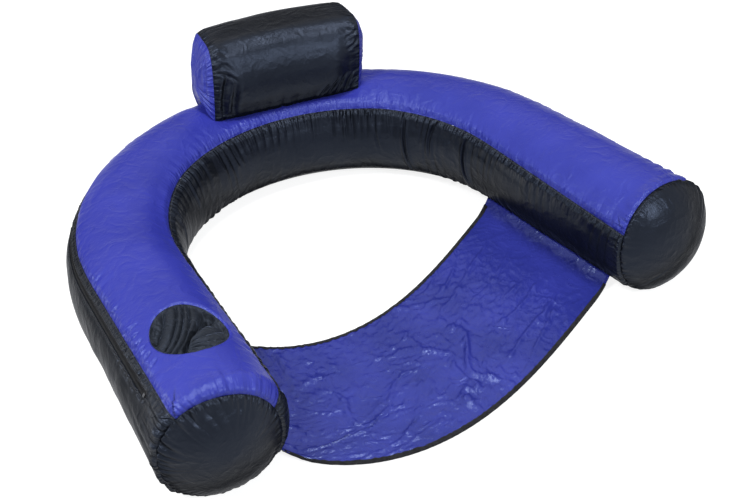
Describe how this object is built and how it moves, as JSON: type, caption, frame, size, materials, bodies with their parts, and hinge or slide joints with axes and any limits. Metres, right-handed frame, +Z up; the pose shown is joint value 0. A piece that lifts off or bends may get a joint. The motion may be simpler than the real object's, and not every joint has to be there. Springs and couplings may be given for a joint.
{
  "type": "inflatable pool chair",
  "caption": "U-shaped inflatable pool chair with a fabric cover, a pillow headrest, a sling seat between the arms, a cup pouch and a zipped bladder.",
  "frame": {"origin": "on the floor, under the middle of the whole chair's box", "axes": "+Z up, -Y towards the open ends of the arms, -X towards the arm with the cup pouch and the zipper"},
  "size_m": [1.0436, 0.9734, 0.338],
  "materials": {
    "nylon_blue": "royal blue coated nylon, soft sheen",
    "nylon_black": "black coated nylon, soft sheen",
    "binding_black": "matt black woven binding tape",
    "bladder_film": "satin grey vinyl film",
    "zipper_black": "black woven zipper tape and nylon coil",
    "slider_metal": "satin dark metal",
    "valve_vinyl": "satin translucent white vinyl"
  },
  "bodies": {
    "root": {"cover_top_panel": "nylon_blue", "cover_outer_panel": "nylon_black", "cover_inner_panel": "nylon_black", "cover_bottom_panel": "nylon_black", "end_cap_left": "nylon_black", "end_cap_right": "nylon_black", "main_bladder": "bladder_film", "cup_pouch": "nylon_black", "seat_sheet": "nylon_blue", "seat_front_binding": "binding_black", "seat_rear_binding": "binding_black", "zipper_upper_tape": "zipper_black", "zipper_lower_tape": "zipper_black", "zipper_coil": "zipper_black", "zipper_front_stop": "slider_metal", "zipper_rear_stop": "slider_metal", "main_valve_body": "valve_vinyl"},
    "zipper_slider": {"zipper_slider": "slider_metal"},
    "pull_tab": {"zipper_pull_tab": "slider_metal"},
    "headrest": {"headrest_wrap": "nylon_black", "headrest_left_end": "nylon_blue", "headrest_right_end": "nylon_blue", "headrest_base": "nylon_black", "headrest_bladder": "bladder_film", "headrest_valve_body": "valve_vinyl"},
    "main_plug": {"main_valve_plug": "valve_vinyl"},
    "main_flap": {"main_valve_flap": "valve_vinyl"},
    "headrest_plug": {"headrest_valve_plug": "valve_vinyl"},
    "headrest_flap": {"headrest_valve_flap": "valve_vinyl"}
  },
  "joints": [
    {"name": "zipper_run", "type": "hinge", "parent": "root", "child": "zipper_slider", "pos_m": [0, -0.01687, 0.15], "axis": [0, 0, 1], "range_deg": [0, 33]},
    {"name": "pull_tab_swing", "type": "hinge", "parent": "zipper_slider", "child": "pull_tab", "pos_m": [-0.06882, 0.47642, 0.1505], "axis": [0.0629, -0.451, 0.8903], "range_deg": [0, 140]},
    {"name": "main_plug_swing", "type": "hinge", "parent": "root", "child": "main_plug", "pos_m": [0.37866, 0.32086, 0.07409], "axis": [-0.1212, -0.1138, -0.9861], "range_deg": [0, 150]},
    {"name": "main_flap_bend", "type": "hinge", "parent": "root", "child": "main_flap", "pos_m": [0.36491, 0.31591, 0.07635], "axis": [0.1212, 0.1138, 0.9861], "range_deg": [0, 60]},
    {"name": "headrest_fold", "type": "hinge", "parent": "root", "child": "headrest", "pos_m": [0.04945, 0.30283, 0.17], "axis": [0.9882, -0.1529, 0], "range_deg": [0, 60]},
    {"name": "headrest_plug_swing", "type": "hinge", "parent": "headrest", "child": "headrest_plug", "pos_m": [0.11482, 0.46377, 0.244], "axis": [-0.0017, -0.0112, 0.9999], "range_deg": [0, 150]},
    {"name": "headrest_flap_bend", "type": "hinge", "parent": "headrest", "child": "headrest_flap", "pos_m": [0.11749, 0.44923, 0.24385], "axis": [0.0017, 0.0112, -0.9999], "range_deg": [0, 60]}
  ]
}
